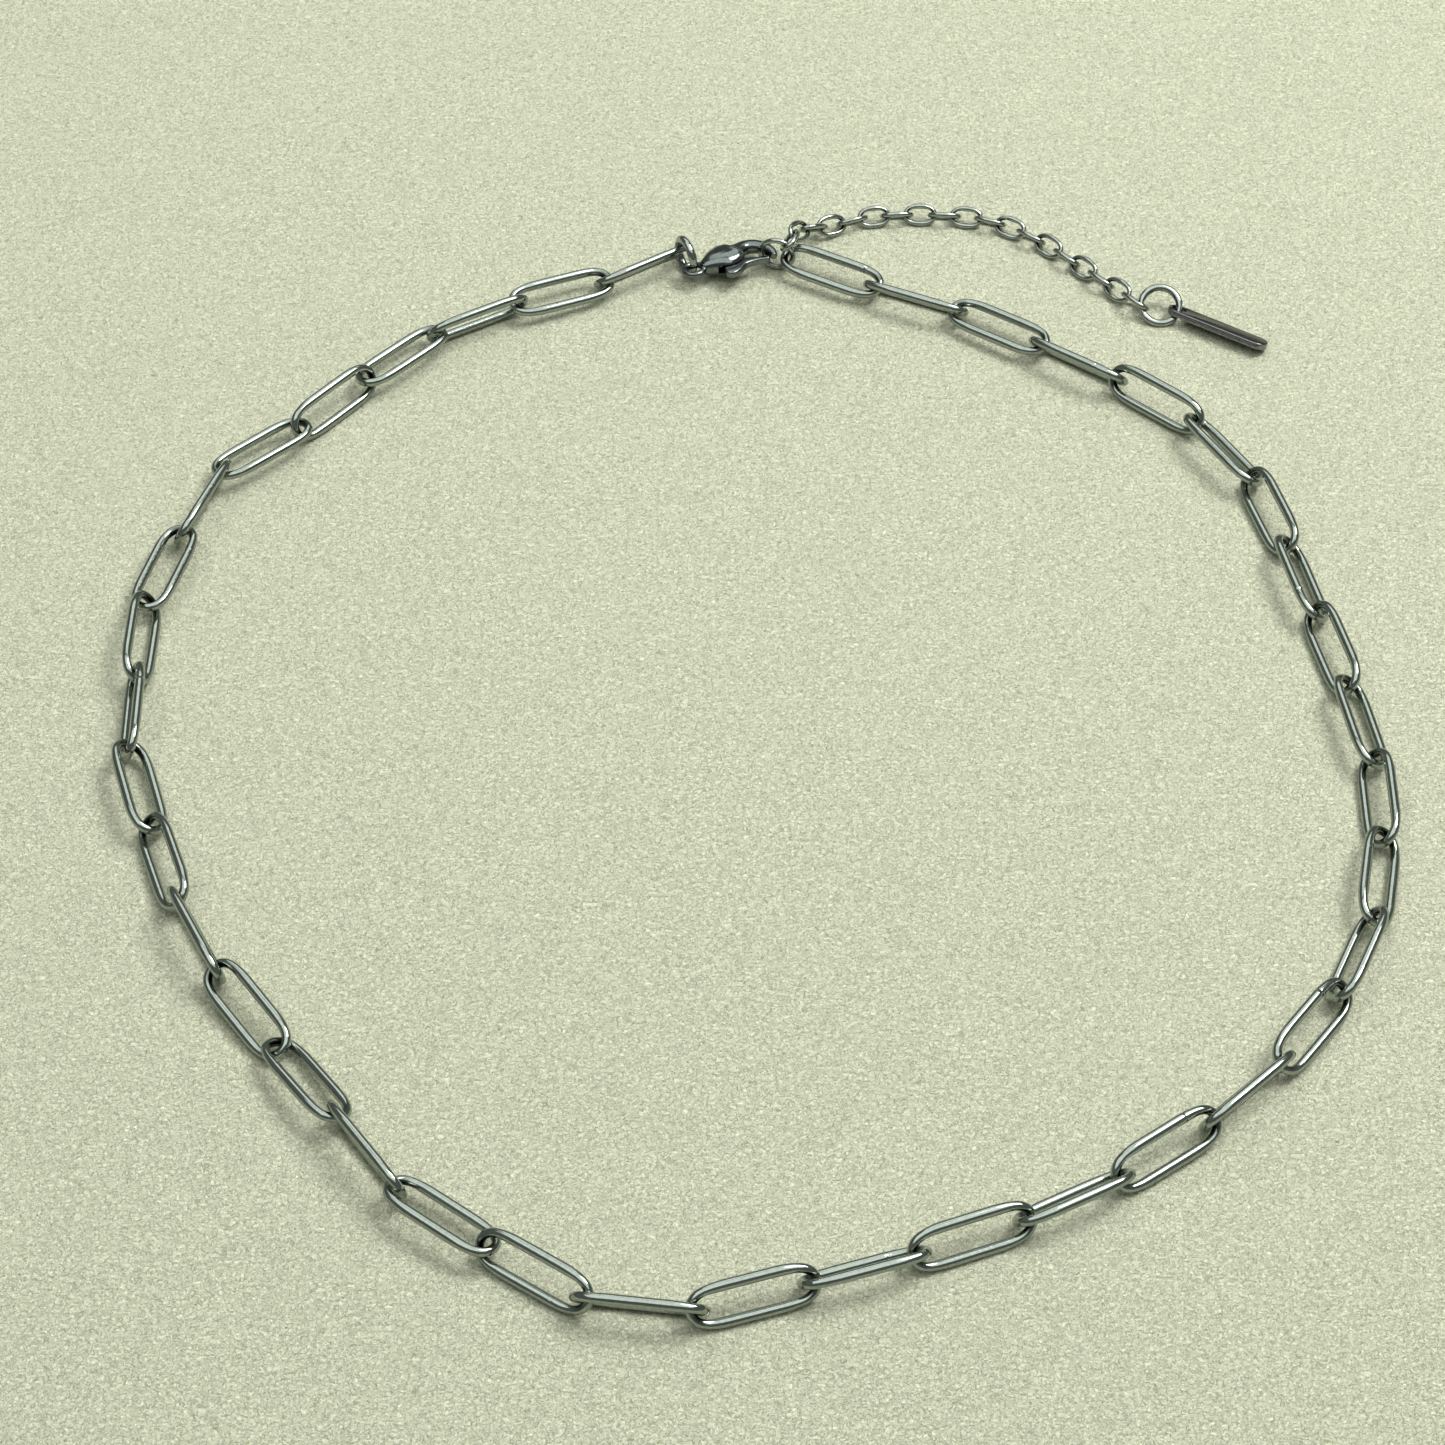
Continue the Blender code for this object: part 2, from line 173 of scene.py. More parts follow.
SPRING_TURN_STEPS = 24
SPRING_SIDES = 10

TAG_WIDTH = 2.6
TAG_THICKNESS = 0.8
TAG_RUN = 10.4
TAG_HOLE_RADIUS = 0.9
TAG_HOLE_SIDES = 48
TAG_END_STEPS = 24
TAG_EDGE = 0.16
# The height, in millimetres, over which the painted highlight on the tag's bevelled edges gives way to
# the painted shade on its faces.
TAG_PAINTED_RIM_FADE = 0.08
TAG_SHARPEST = 35


# ---- materials ----------------------------------------------------------------------------------


def steel(name, colour, roughness, streaks=0.5):
    """Polished steel: drawn streaks along the wire, fine speckle, and painted shade: a darker base
    colour wherever the painted_shade attribute is set.
    """
    material = bpy.data.materials.new(name)
    material.use_nodes = True
    nodes, links = material.node_tree.nodes, material.node_tree.links
    shader = nodes["Principled BSDF"]
    shader.inputs["Metallic"].default_value = 1
    shader.inputs["IOR"].default_value = 2.2

    place = nodes.new("ShaderNodeTexCoord")
    along = nodes.new("ShaderNodeMapping")
    along.inputs["Scale"].default_value = (2.5, 34, 1)
    links.new(place.outputs["UV"], along.inputs["Vector"])
    drawn = nodes.new("ShaderNodeTexNoise")
    drawn.inputs["Scale"].default_value = 1
    drawn.inputs["Detail"].default_value = 5
    drawn.inputs["Roughness"].default_value = 0.65
    links.new(along.outputs["Vector"], drawn.inputs["Vector"])

    grain = nodes.new("ShaderNodeTexNoise")
    grain.inputs["Scale"].default_value = 2600
    grain.inputs["Detail"].default_value = 4
    links.new(place.outputs["Object"], grain.inputs["Vector"])
    patches = nodes.new("ShaderNodeTexNoise")
    patches.inputs["Scale"].default_value = 420
    patches.inputs["Detail"].default_value = 3
    links.new(place.outputs["Object"], patches.inputs["Vector"])

    # Painted shade: the base colour is darkened to 0.16 of itself wherever this attribute is set.
    painted_shade = nodes.new("ShaderNodeAttribute")
    painted_shade.attribute_name = "painted_shade"

    darker = tuple(0.55 * part for part in colour)
    # The colour of the painted shade.
    painted_shade_colour = tuple(0.16 * part for part in colour)
    tone = nodes.new("ShaderNodeMix")
    tone.data_type = "RGBA"
    tone.inputs["A"].default_value = (*colour, 1)
    tone.inputs["B"].default_value = (*darker, 1)
    spread = nodes.new("ShaderNodeMapRange")
    spread.inputs["From Min"].default_value = 0.42
    spread.inputs["From Max"].default_value = 0.72
    spread.inputs["To Max"].default_value = STEEL_SPECKLE
    links.new(grain.outputs["Fac"], spread.inputs["Value"])
    links.new(spread.outputs["Result"], tone.inputs["Factor"])
    painted_shade_mix = nodes.new("ShaderNodeMix")
    painted_shade_mix.data_type = "RGBA"
    painted_shade_mix.inputs["B"].default_value = (*painted_shade_colour, 1)
    links.new(tone.outputs["Result"], painted_shade_mix.inputs["A"])
    links.new(painted_shade.outputs["Fac"], painted_shade_mix.inputs["Factor"])
    links.new(painted_shade_mix.outputs["Result"], shader.inputs["Base Color"])

    mixed = nodes.new("ShaderNodeMath")
    mixed.operation = "MULTIPLY_ADD"
    mixed.inputs[1].default_value = streaks
    links.new(drawn.outputs["Fac"], mixed.inputs[0])
    links.new(patches.outputs["Fac"], mixed.inputs[2])
    gloss = nodes.new("ShaderNodeMapRange")
    gloss.inputs["From Min"].default_value = 0.35 + 0.3 * streaks
    gloss.inputs["From Max"].default_value = 0.65 + 0.7 * streaks
    gloss.inputs["To Min"].default_value = roughness * 0.7
    gloss.inputs["To Max"].default_value = roughness * 1.6
    links.new(mixed.outputs["Value"], gloss.inputs["Value"])
    links.new(gloss.outputs["Result"], shader.inputs["Roughness"])

    height = nodes.new("ShaderNodeMath")
    height.operation = "MULTIPLY_ADD"
    height.inputs[1].default_value = streaks
    links.new(drawn.outputs["Fac"], height.inputs[0])
    links.new(grain.outputs["Fac"], height.inputs[2])
    dents = nodes.new("ShaderNodeBump")
    dents.inputs["Strength"].default_value = STEEL_DENTS
    dents.inputs["Distance"].default_value = DENT_DEPTH
    links.new(height.outputs["Value"], dents.inputs["Height"])
    links.new(dents.outputs["Normal"], shader.inputs["Normal"])
    return material


def suede():
    """The pale floor: a fine short nap in a warm cream."""
    material = bpy.data.materials.new("floor_suede")
    material.use_nodes = True
    nodes, links = material.node_tree.nodes, material.node_tree.links
    shader = nodes["Principled BSDF"]
    shader.inputs["Roughness"].default_value = 0.95
    shader.inputs["Specular IOR Level"].default_value = 0.15
    place = nodes.new("ShaderNodeTexCoord")
    nap = nodes.new("ShaderNodeTexNoise")
    nap.inputs["Scale"].default_value = 2600
    nap.inputs["Detail"].default_value = 4
    nap.inputs["Roughness"].default_value = 0.8
    nap.inputs["Distortion"].default_value = 1.4
    links.new(place.outputs["Object"], nap.inputs["Vector"])
    ramp = nodes.new("ShaderNodeValToRGB")
    ramp.color_ramp.elements[0].position = 0.36
    ramp.color_ramp.elements[0].color = NAP_DARK
    ramp.color_ramp.elements[1].position = 0.57
    ramp.color_ramp.elements[1].color = NAP_PALE
    links.new(nap.outputs["Fac"], ramp.inputs["Fac"])
    links.new(ramp.outputs["Color"], shader.inputs["Base Color"])
    pile = nodes.new("ShaderNodeBump")
    pile.inputs["Strength"].default_value = 1
    pile.inputs["Distance"].default_value = NAP_DEPTH
    links.new(nap.outputs["Fac"], pile.inputs["Height"])
    links.new(pile.outputs["Normal"], shader.inputs["Normal"])
    return material


# ---- shapes -------------------------------------------------------------------------------------


def smooth_step(value, low, high):
    """0 up to low, 1 from high on, and a smooth rise between them."""
    share = min(max((value - low) / (high - low), 0), 1)
    return share * share * (3 - 2 * share)


def spline_point(before, start, end, after, share):
    """A point between start and end on a smooth curve that goes through all four."""
    bend = (2 * before - 5 * start + 4 * end - after) * share * share
    turn = (3 * start - before - 3 * end + after) * share * share * share
    return (2 * start + (end - before) * share + bend + turn) / 2


def join_rings(shape, rings, smooth):
    """Faces between rings of vertices, one ring to the next, with a cap at each end."""
    sides = len(rings[0])
    for first, second in zip(rings, rings[1:]):
        for side in range(sides):
            after = (side + 1) % sides
            face = shape.faces.new((first[side], first[after], second[after], second[side]))
            face.smooth = smooth
    shape.faces.new(rings[0])
    shape.faces.new(rings[-1])
    bmesh.ops.recalc_face_normals(shape, faces=shape.faces)


def wire_loop(path, wide, high, sides, painted_shade):
    """Wire on a closed flat path, as a bmesh, with UVs along it and round it.

    Its half sizes are given in the path's plane and across that plane, at each point of the path.
    """
    shape = bmesh.new()
    painted_shade_layer = shape.verts.layers.float.new("painted_shade")
    count = len(path)
    rings = []
    lengths = [0]
    up = Vector((0, 0, 1))
    for index, point in enumerate(path):
        ahead, behind = path[(index + 1) % count], path[index - 1]
        out = (ahead - behind).cross(up).normalized()
        ring = []
        for side in range(sides):
            angle = 2 * math.pi * side / sides
            spoke = out * math.cos(angle) * wide[index] + up * math.sin(angle) * high[index]
            vert = shape.verts.new(point + spoke)
            # Painted shade for this vertex, from the given function.
            vert[painted_shade_layer] = painted_shade(point, math.cos(angle))
            ring.append(vert)
        rings.append(ring)
        lengths.append(lengths[-1] + (ahead - point).length)
    uv = shape.loops.layers.uv.new("UVMap")
    for index in range(count):
        first, second = rings[index], rings[(index + 1) % count]
        for side in range(sides):
            after = (side + 1) % sides
            face = shape.faces.new((first[side], first[after], second[after], second[side]))
            face.smooth = True
            corners = ((index, side), (index, side + 1), (index + 1, side + 1), (index + 1, side))
            for loop, (end, turn) in zip(face.loops, corners):
                loop[uv].uv = (lengths[end] / UV_LENGTH, turn / sides)
    bmesh.ops.recalc_face_normals(shape, faces=shape.faces)
    return shape


def oval(length, width, wire, thicker, squareness, count):
    """The centre line of an oval link, in even steps: straighter sides as squareness grows."""
    reach, bend = (length - wire) / 2, (width - wire) / 2 - thicker
    dense = []
    for step in range(OVAL_STEPS):
        angle = 2 * math.pi * step / OVAL_STEPS
        along, side = math.cos(angle), math.sin(angle)
        squared = math.copysign(abs(along) ** (2 / squareness), along)
        dense.append(Vector((reach * squared, bend * side, 0)))
    lengths = [0]
    for start, end in zip(dense, dense[1:] + dense[:1]):
        lengths.append(lengths[-1] + (end - start).length)
    path = []
    index = 0
    for step in range(count):
        wanted = lengths[-1] * step / count
        while lengths[index + 1] < wanted:
            index += 1
        share = (wanted - lengths[index]) / (lengths[index + 1] - lengths[index])
        path.append(dense[index].lerp(dense[(index + 1) % OVAL_STEPS], share))
    return path


def add_seam(path, wide, high, at, wire):
    """The butt joint where the wire's two ends meet: a shallow dip, filed almost flush."""
    here, ahead = path[at], path[(at + 1) % len(path)]
    run = (ahead - here).normalized()
    middle = here.lerp(ahead, 0.5)
    path[at + 1:at + 1] = [middle + run * offset * wire for offset, _ in SEAM_DIP]
    for sizes in (wide, high):
        sizes[at + 1:at + 1] = [sizes[at] * scale for _, scale in SEAM_DIP]


def fuller(point, contacts, near, far):
    """How full a wire is here, from 0 to 1: it is worn thinner where pieces touch."""
    if not contacts:
        return 1
    return smooth_step(min((point - contact).length for contact in contacts), near, far)


def link_shape(size, steps, sides, dice, thicker, squareness, wobble, contacts):
    """An oval link of the given length, width and wire, which is thicker away from its contacts."""
    length, width, wire = size
    path = oval(length + 2 * CONTACT_SLACK * wire, width, wire, thicker, squareness, steps)
    reach = (length - wire) / 2
    lean = dice.uniform(-wobble, wobble)
    wide, high = [], []
    for point in path:
        share = fuller(point, contacts, LINK_WORN[0] * wire, LINK_WORN[1] * wire)
        wide.append(wire / 2 + thicker * share)
        high.append(wire / 2 + thicker * (LINK_WORN_HEIGHT + (1 - LINK_WORN_HEIGHT) * share))
        middle = 1 - smooth_step(abs(point.x), WOBBLE_FADE[0] * reach, WOBBLE_FADE[1] * reach)
        point.y -= lean * point.x / reach * middle
    if dice.random() < SEAM_SHARE:
        at = dice.choice((1, -1)) * round(steps * dice.uniform(*SEAM_PLACES)) % len(path)
        add_seam(path, wide, high, at, wire)

    # Painted shade: the base colour is darkened on the inner side of each end, where the links meet and
    # shade each other.
    def painted_shade(point, outward):
        end = smooth_step(abs(point.x), reach - wire * 1.5, reach - wire * 0.1)
        return 0.9 * end * smooth_step(-outward, -0.3, 0.6)

    return wire_loop(path, wide, high, sides, painted_shade)


def ring_shape(radius, wire, sides, dice, thicker=0, contacts=()):
    """A round ring with one seam, on the given radius of its wire's centre line."""
    path = []
    for step in range(RING_STEPS):
        angle = 2 * math.pi * step / RING_STEPS
        path.append(Vector((radius * math.cos(angle), radius * math.sin(angle), 0)))
    near, far = RING_WORN[0] * wire, RING_WORN[1] * wire
    wide = [wire / 2 + thicker * fuller(point, contacts, near, far) for point in path]
    high = [max(half, wire / 2 + RING_HEIGHT * thicker) for half in wide]
    add_seam(path, wide, high, dice.randrange(4, RING_STEPS - 4), wire)
    # Painted shade: the ring's base colour is darkened on its inner side, towards its middle.
    return wire_loop(path, wide, high, sides, lambda point, outward: 0.5 * smooth_step(-outward, 0.2, 1))


def flat_bar(outline, thickness):
    """A plate from a smooth outline, as a bmesh."""
    shape = bmesh.new()
    # A layer for painted shade, filled in later for the tag.
    shape.verts.layers.float.new("painted_shade")
    face = shape.faces.new([shape.verts.new((x, y, -thickness / 2)) for x, y in outline])
    raised = bmesh.ops.extrude_face_region(shape, geom=[face])["geom"]
    tops = [item for item in raised if isinstance(item, bmesh.types.BMVert)]
    bmesh.ops.translate(shape, vec=(0, 0, thickness), verts=tops)
    bmesh.ops.recalc_face_normals(shape, faces=shape.faces)
    return shape


def smooth_outline(points):
    """A closed outline through the given corners, rounded by a spline."""
    count = len(points)
    fine = []
    for index in range(count):
        before, start, end, after = (Vector(points[(index + k) % count]) for k in (-1, 0, 1, 2))
        for step in range(OUTLINE_STEPS):
            fine.append(spline_point(before, start, end, after, step / OUTLINE_STEPS))
    return fine


def box_uv(shape):
    """UVs straight down on the piece, so that brushed streaks run along its length."""
    uv = shape.loops.layers.uv.verify()
    for face in shape.faces:
        for loop in face.loops:
            across = loop.vert.co.y / UV_LENGTH + loop.vert.co.z / UV_LENGTH
            loop[uv].uv = (loop.vert.co.x / UV_LENGTH, across)


# ---- placing ------------------------------------------------------------------------------------


def node_points(node):
    """The separate vertices of a CAD node's mesh, in metres."""
    mesh = frame["nodes"][node].data
    found = np.array([v.co for v in mesh.vertices], float)
    return np.unique(np.round(found, 7), axis=0)


def node_frame(node):
    """(place, sizes in mm) of a wire piece: its longest way is X and its thinnest is Z."""
    points = node_points(node)
    middle = points.mean(axis=0)
    _, _, axes = np.linalg.svd(points - middle, full_matrices=False)
    if np.linalg.det(axes) < 0:
        axes[2] = -axes[2]
    local = (points - middle) @ axes.T
    low, high = local.min(axis=0), local.max(axis=0)
    middle = middle + ((low + high) / 2) @ axes
    place = Matrix(axes.T.tolist()).to_4x4()
    place.translation = Vector(middle)
    return place, (high - low) / MM


def object_from(name, shape):
    """An object in the scene whose mesh is the given bmesh."""
    mesh = bpy.data.meshes.new(name)
    shape.to_mesh(mesh)
    shape.free()
    made = bpy.data.objects.new(name, mesh)
    bpy.context.scene.collection.objects.link(made)
    return made


def add_piece(name, shape, place, body, look, nodes, finish=None):
    """Makes a piece from a bmesh in millimetres. It rides on a body and stands for its CAD nodes."""
    made = object_from(name, shape)
    if finish:
        finish(made)
    made.data.transform(place @ Matrix.Scale(MM, 4))
    made.data.materials.clear()
    made.data.materials.append(look)
    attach(made, body)
    if nodes:
        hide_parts(*nodes)
    return made


def apply_modifiers(made):
    """Turns the piece's modifiers into its mesh."""
    graph = bpy.context.evaluated_depsgraph_get()
    final = bpy.data.meshes.new_from_object(made.evaluated_get(graph), depsgraph=graph)
    made.modifiers.clear()
    made.data = final


def round_edges(made, width, segments, limit=30):
    """Rounds the edges where the surface turns by more than the limit, in degrees."""
    edge = made.modifiers.new("Edges", "BEVEL")
    edge.width = width
    edge.segments = segments
    edge.limit_method = "ANGLE"
    edge.angle_limit = math.radians(limit)
    apply_modifiers(made)


def shade_smooth(made, sharpest=None):
    """Shades the piece smooth, but sharp where it turns by more than the given degrees, if any."""
    for face in made.data.polygons:
        face.use_smooth = True
    if sharpest:
        made.data.set_sharp_from_angle(angle=math.radians(sharpest))


def joint_of(child):
    return next(joint for joint in frame["joints"] if joint["child"] == child)


def joint_place(child):
    return Vector(joint_of(child)["pos_m"])


def contacts_of(body, place):
    """Where this body touches its neighbours, in millimetres in its own frame."""
    joints = [joint for joint in frame["joints"] if body in (joint["parent"], joint["child"])]
    return [place.inverted() @ Vector(joint["pos_m"]) / MM for joint in joints]


# ---- the chain ----------------------------------------------------------------------------------


def make_links(look, dice):
    for number in range(1, LINK_COUNT + 1):
        node = f"link_{number:02d}"
        place, size = node_frame(node)
        contacts = contacts_of(node, place)
        shape = link_shape(size, LINK_STEPS, LINK_SIDES, dice, LINK_THICKER, LINK_SQUARENESS,
                           LINK_WOBBLE, contacts)
        add_piece(f"chain_{node}", shape, place, node, look, [node])


def make_extender(look, dice):
    """Small links. A CAD piece that stands for two links gets both of them here."""
    names = [f"extender_{number:02d}" for number in range(1, EXTENDER_COUNT + 1)]
    starts = [joint_place(name) for name in [*names, "tag_ring"]]
    first, size = node_frame(names[0])
    pitch = (starts[1] - starts[0]).length
    count = 0
    for name, start, end in zip(names, starts, starts[1:]):
        spans = [(start, end)]
        if (end - start).length > 1.5 * pitch:
            half = (end - start) / 2
            rise = math.sqrt(max(pitch ** 2 - half.length_squared, 0))
            outward = Vector((-half.y, half.x, 0)).normalized()
            middle = start + half + outward * rise
            spans = [(start, middle), (middle, end)]
        for part, (low, high) in enumerate(spans):
            roll = -SMALL_ROLL if count % 2 == 0 else SMALL_ROLL
            run = (high - low).normalized()
            across = Vector((0, 0, 1)).cross(run).normalized()
            turned = Matrix((run, across, run.cross(across))).transposed().to_4x4()
            middle = Matrix.Translation((low + high) / 2 + run * part * PAIR_SHIFT * MM)
            place = middle @ turned @ Matrix.Rotation(math.radians(roll), 4, "X")
            ends = [place.inverted() @ point / MM for point in (low, high)]
            shape = link_shape(size, SMALL_STEPS, SMALL_SIDES, dice, SMALL_THICKER,
                               SMALL_SQUARENESS, 0, ends)
            suffix = "ab"[part] if len(spans) > 1 else "a"
            add_piece(f"chain_{name}{suffix}", shape, place, name, look,
                      [name] if part == 0 else [])
            count += 1


def make_rings(look, dice):
    for name in ("clasp_ring", "end_ring", "tag_ring"):
        place, size = node_frame(name)
        wire = size[2]
        thicker = 0 if name == "end_ring" else RING_THICKER
        contacts = contacts_of(name, place)
        shape = ring_shape((size[0] - wire) / 2, wire, LINK_SIDES, dice, thicker, contacts)
        add_piece(f"round_{name}", shape, place, name, look, [name])


# ---- the clasp ----------------------------------------------------------------------------------


def clasp_place():
    """The clasp's own frame, from its two joints: the eye and the lever's pivot."""
    eye = joint_place("clasp")
    pivot = joint_place("clasp_lever")
    up = Vector(joint_of("clasp_lever")["axis"]).normalized()
    run = pivot - eye
    run = (run - up * run.dot(up)).normalized()
    across = up.cross(run)
    lean = math.atan2(LEVER_PIVOT[1], LEVER_PIVOT[0])
    along = run * math.cos(lean) - across * math.sin(lean)
    side = up.cross(along)
    place = Matrix((along, side, up)).transposed().to_4x4()
    place.translation = eye
    return place


def horn(spine, sides, flatness):
    """A solid whose round-cornered section follows a flat spine of (x, y, half width, half height)."""
    fine = []
    ends = [spine[0], *spine, spine[-1]]
    for before, start, end, after in zip(ends, ends[1:], ends[2:], ends[3:]):
        before, start, end, after = (np.array(item, float) for item in (before, start, end, after))
        for step in range(CURVE_STEPS):
            fine.append(spline_point(before, start, end, after, step / CURVE_STEPS))
    fine.append(np.array(spine[-1], float))
    shape = bmesh.new()
    rings = []
    for index, (x, y, half_width, half_height) in enumerate(fine):
        ahead = fine[min(index + 1, len(fine) - 1)]
        behind = fine[max(index - 1, 0)]
        run = Vector((ahead[0] - behind[0], ahead[1] - behind[1], 0)).normalized()
        out = Vector((-run.y, run.x, 0))
        ring = []
        for side in range(sides):
            angle = 2 * math.pi * side / sides
            c, s = math.cos(angle), math.sin(angle)
            power = 2 / flatness
            wide = half_width * math.copysign(abs(c) ** power, c)
            high = half_height * math.copysign(abs(s) ** power, s)
            ring.append(shape.verts.new(Vector((x, y, 0)) + out * wide + Vector((0, 0, high))))
        rings.append(ring)
    join_rings(shape, rings, smooth=False)
    return shape


def cut(made, cutter, operation="DIFFERENCE"):
    """Cuts the cutter out of the piece, or joins it on, and removes the cutter."""
    change = made.modifiers.new(cutter.name, "BOOLEAN")
    change.operation = operation
    change.object = cutter
    apply_modifiers(made)
    bpy.data.objects.remove(cutter, do_unlink=True)


def block(low, high, thickness):
    """A box between two corners in the clasp's flat plane."""
    corners = (low, (high[0], low[1]), high, (low[0], high[1]))
    return flat_bar([Vector(corner) for corner in corners], thickness)


def make_clasp(look, bright, place):
    """The body with its eye and hook, the lever on its pin, and the spring inside."""

    def cast(made):
        dice = random.Random(SEED)
        eye_ring = ring_shape(EYE_RADIUS, EYE_WIRE, LINK_SIDES, dice)
        cut(made, object_from("eye_torus", eye_ring), "UNION")
        skin = made.modifiers.new("Skin", "REMESH")
        skin.mode = "VOXEL"
        skin.voxel_size = BODY_VOXEL
        ease = made.modifiers.new("Ease", "SMOOTH")
        ease.factor = 0.5
        ease.iterations = 4
        apply_modifiers(made)
        cut(made, object_from("lever_slot", block(SLOT_LOW, SLOT_HIGH, SLOT_THICKNESS)))
        shade_smooth(made, BODY_SHARPEST)

    body = horn(BODY_SPINE, BODY_SIDES, BODY_FLATNESS)
    add_piece("cast_clasp_body", body, place, "clasp", look, ["clasp_body"], cast)

    def ease_lever(made):
        round_edges(made, LEVER_EDGE, EDGE_SEGMENTS, EDGE_LIMIT)
        shade_smooth(made, LEVER_SHARPEST)

    pivot = Vector((*LEVER_PIVOT, 0))
    outline = [point - pivot.to_2d() for point in smooth_outline(LEVER_OUTLINE)]
    lever = flat_bar(outline, LEVER_THICKNESS)
    at_pivot = place @ Matrix.Translation(pivot * MM)
    add_piece("gate_lever", lever, at_pivot, "clasp_lever", look, ["clasp_lever"],
              ease_lever)

    pin = bmesh.new()
    bmesh.ops.create_cone(pin, cap_ends=True, segments=PIN_SIDES, radius1=PIN_RADIUS,
                          radius2=PIN_RADIUS, depth=PIN_LENGTH)

    def dome(made):
        round_edges(made, PIN_EDGE, PIN_EDGE_SEGMENTS)
        shade_smooth(made)

    add_piece("lever_pin", pin, at_pivot, "clasp", bright, ["clasp_pin"], dome)

    coil = []
    steps = SPRING_TURN_STEPS * SPRING_TURNS
    for step in range(steps + 1):
        angle = 2 * math.pi * step / SPRING_TURN_STEPS
        along = SPRING_ALONG[0] + (SPRING_ALONG[1] - SPRING_ALONG[0]) * step / steps
        side = SPRING_ACROSS + SPRING_RADIUS * math.cos(angle)
        coil.append(Vector((along, side, SPRING_RADIUS * math.sin(angle))))
    spring = open_wire(coil, SPRING_WIRE, SPRING_SIDES)
    add_piece("gate_spring", spring, place, "clasp", bright, ["clasp_spring"])


def open_wire(path, wire, sides):
    """Round wire along an open path, with a cap at each end."""
    shape = bmesh.new()
    rings = []
    across = None
    for index, point in enumerate(path):
        ahead, behind = path[min(index + 1, len(path) - 1)], path[max(index - 1, 0)]
        run = (ahead - behind).normalized()
        across = across or run.orthogonal().normalized()
        across = (across - run * across.dot(run)).normalized()
        other = run.cross(across)
        ring = []
        for side in range(sides):
            angle = 2 * math.pi * side / sides
            spoke = (across * math.cos(angle) + other * math.sin(angle)) * wire / 2
            ring.append(shape.verts.new(point + spoke))
        rings.append(ring)
    join_rings(shape, rings, smooth=True)
    return shape


# ---- the tag ------------------------------------------------------------------------------------


def make_tag(look):
    """The bar tag: brushed faces with painted shade, and bevelled edges whose brighter base colour is a
    painted highlight.

    Its frame has the hole at its origin and the bar along +X.
    """
    place, _ = node_frame("bar_tag")
    hole = joint_place("bar_tag")
    up = place.col[2].to_3d()
    if up.z < 0:
        up = -up
    along = place.col[0].to_3d()
    if (place.translation - hole).dot(along) < 0:
        along = -along
    side = up.cross(along)
    place = Matrix((along, side, up)).transposed().to_4x4()
    place.translation = hole
    bend = TAG_WIDTH / 2
    outline = []
    for end, start_angle in ((TAG_RUN, -90), (0, 90)):
        for step in range(TAG_END_STEPS + 1):
            angle = math.radians(start_angle + 180 * step / TAG_END_STEPS)
            outline.append(Vector((end + bend * math.cos(angle), bend * math.sin(angle))))
    bar = flat_bar(outline, TAG_THICKNESS)

    def finish(made):
        drill = bmesh.new()
        bmesh.ops.create_cone(drill, cap_ends=True, segments=TAG_HOLE_SIDES, radius1=TAG_HOLE_RADIUS,
                              radius2=TAG_HOLE_RADIUS, depth=TAG_THICKNESS * 3)
        cut(made, object_from("tag_drill", drill))
        round_edges(made, TAG_EDGE, EDGE_SEGMENTS, EDGE_LIMIT)
        shape = bmesh.new()
        shape.from_mesh(made.data)
        box_uv(shape)
        # Painted shade on the flat faces and a painted highlight on the bevelled edges: the faces' base
        # colour is darkened and the edges' is not.
        painted_shade_layer = shape.verts.layers.float.get("painted_shade") or shape.verts.layers.float.new("painted_shade")
        for vert in shape.verts:
            top = TAG_THICKNESS / 2
            vert[painted_shade_layer] = smooth_step(abs(vert.co.z), top - TAG_PAINTED_RIM_FADE, top)
        shape.to_mesh(made.data)
        shape.free()
        shade_smooth(made, TAG_SHARPEST)

    add_piece("flat_bar_tag", bar, place, "bar_tag", look, ["bar_tag"], finish)


# ---- the studio ---------------------------------------------------------------------------------


def add_light(name, place, aim, size, power, colour):
    """A rectangular panel of light, in metres and watts."""
    data = bpy.data.lights.new(name, "AREA")
    data.shape = "RECTANGLE"
    data.size, data.size_y = size
    data.energy = power
    data.color = colour
    made = bpy.data.objects.new(name, data)
    made.location = place
    made.rotation_euler = (Vector(aim) - Vector(place)).to_track_quat("-Z", "Y").to_euler()
    bpy.context.scene.collection.objects.link(made)


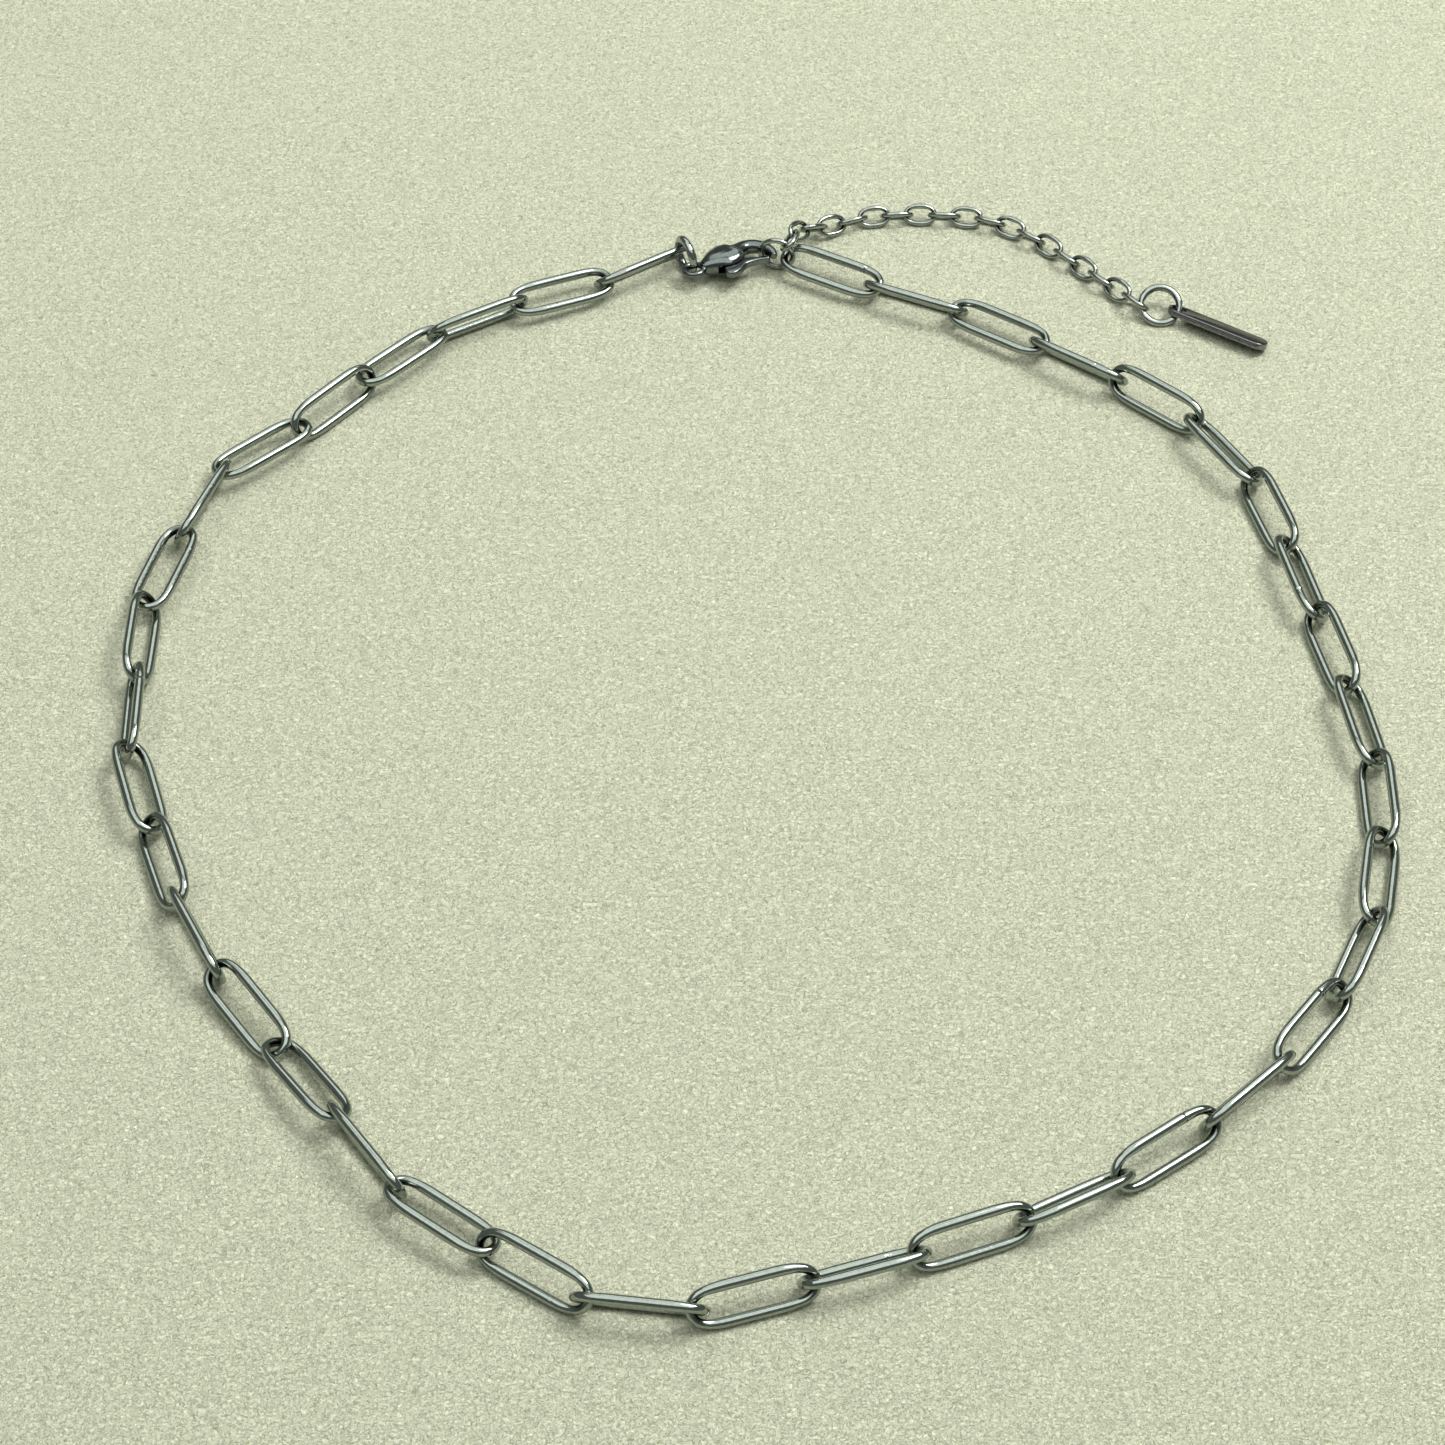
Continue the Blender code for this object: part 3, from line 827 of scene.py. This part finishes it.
def make_studio():
    """The floor, the sky, the lights and the camera."""
    floor_shape = bmesh.new()
    bmesh.ops.create_grid(floor_shape, x_segments=1, y_segments=1, size=3)
    floor = object_from("studio_floor", floor_shape)
    floor.data.materials.append(suede())

    world = bpy.data.worlds.new("studio")
    world.use_nodes = True
    sky = world.node_tree.nodes["Background"]
    sky.inputs["Color"].default_value = SKY_COLOUR
    sky.inputs["Strength"].default_value = SKY_STRENGTH
    bpy.context.scene.world = world
    bpy.context.scene.view_settings.view_transform = "Standard"

    add_light("top_panel", place=(0.0, -0.12, 1.15), aim=(0, -0.12, 0), size=(1.7, 1.3),
              power=11.0, colour=PANEL_COLOUR)
    add_light("back_panel", place=(0.0, 1.05, 1.12), aim=(0, 0, 0), size=(1.1, 0.8),
              power=4.2, colour=PANEL_COLOUR)
    add_light("lamp", place=(0.5, 0.25, 0.88), aim=(0, 0, 0), size=(0.46, 0.46),
              power=8.6, colour=LAMP_COLOUR)

    data = bpy.data.cameras.new("camera")
    data.sensor_width = CAMERA_SENSOR
    data.lens = CAMERA_LENS
    data.clip_start = 0.01
    data.clip_end = 20
    camera = bpy.data.objects.new("camera", data)
    tilt = Matrix.Rotation(math.radians(CAMERA_TILT), 4, "X")
    roll = Matrix.Rotation(math.radians(CAMERA_ROLL), 4, "Z")
    camera.matrix_world = Matrix.Translation(Vector(CAMERA_PLACE) * MM) @ tilt @ roll
    bpy.context.scene.collection.objects.link(camera)
    bpy.context.scene.camera = camera


dice = random.Random(SEED)
link_look = steel("link_steel_look", colour=(0.325, 0.36, 0.328), roughness=0.1)
ring_look = steel("ring_steel_look", colour=(0.35, 0.38, 0.354), roughness=0.1)
clasp_look = steel("clasp_steel_look", colour=(0.17, 0.19, 0.185), roughness=0.15, streaks=0.2)
tag_look = steel("tag_steel_look", colour=(0.28, 0.275, 0.285), roughness=0.22, streaks=1.0)
make_studio()
make_links(link_look, dice)
make_extender(ring_look, dice)
make_rings(ring_look, dice)
make_clasp(clasp_look, ring_look, clasp_place())
make_tag(tag_look)
